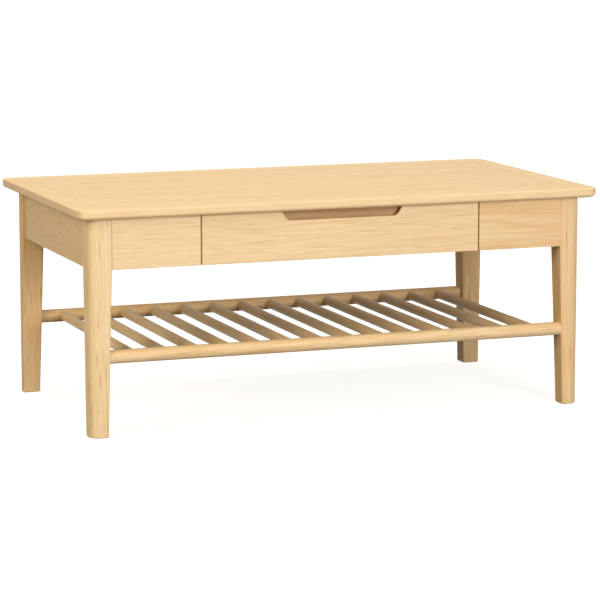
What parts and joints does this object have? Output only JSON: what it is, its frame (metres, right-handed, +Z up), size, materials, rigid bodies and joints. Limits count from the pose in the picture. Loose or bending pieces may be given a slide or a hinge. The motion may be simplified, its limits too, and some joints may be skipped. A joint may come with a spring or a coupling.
{
  "type": "coffee table",
  "caption": "Low rectangular coffee table in light oak with a framed top, tapered legs, a wide drawer with a finger pull and a slatted shelf of round rods.",
  "frame": {"origin": "on the floor, under the middle of the table top", "axes": "+X along the length, the drawer opens towards -Y, +Z up"},
  "size_m": [1.1, 0.6, 0.45],
  "materials": {
    "oak": "clear satin lacquer on pale oak",
    "walnut": "oiled mid-brown walnut",
    "inner_wood": "plain planed hardwood",
    "plywood": "thin sanded plywood",
    "steel": "bright zinc-plated"
  },
  "bodies": {
    "table_frame": {"back_apron": "oak", "back_border": "oak", "back_left_corner_block": "inner_wood", "back_left_leg": "oak", "back_right_corner_block": "inner_wood", "back_right_leg": "oak", "back_stretcher": "oak", "drawer_stop": "inner_wood", "drawer_stop_screw": "steel", "front_border": "oak", "front_left_corner_block": "inner_wood", "front_left_leg": "oak", "front_left_panel": "oak", "front_right_corner_block": "inner_wood", "front_right_leg": "oak", "front_right_panel": "oak", "front_stretcher": "oak", "joint_dowels": "inner_wood", "left_border": "oak", "left_divider": "inner_wood", "left_runner": "inner_wood", "left_side_apron": "oak", "lower_front_rail": "inner_wood", "right_border": "oak", "right_divider": "inner_wood", "right_runner": "inner_wood", "right_side_apron": "oak", "runner_screws": "steel", "shelf_rod_01": "oak", "shelf_rod_02": "oak", "shelf_rod_03": "oak", "shelf_rod_04": "oak", "shelf_rod_05": "oak", "shelf_rod_06": "oak", "shelf_rod_07": "oak", "shelf_rod_08": "oak", "shelf_rod_09": "oak", "shelf_rod_10": "oak", "shelf_rod_11": "oak", "shelf_rod_12": "oak", "shelf_rod_13": "oak", "shelf_rod_14": "oak", "top_fixing_screws": "steel", "top_panel": "oak", "upper_front_rail": "inner_wood"},
    "drawer": {"drawer_front": "oak", "handle_insert": "walnut", "drawer_left_side": "inner_wood", "drawer_right_side": "inner_wood", "drawer_back": "inner_wood", "drawer_bottom": "plywood", "drawer_bottom_screws": "steel"}
  },
  "joints": [
    {"name": "drawer_slide", "type": "slide", "parent": "table_frame", "child": "drawer", "axis": [0, -1, 0], "range_m": [0, 0.305]}
  ]
}
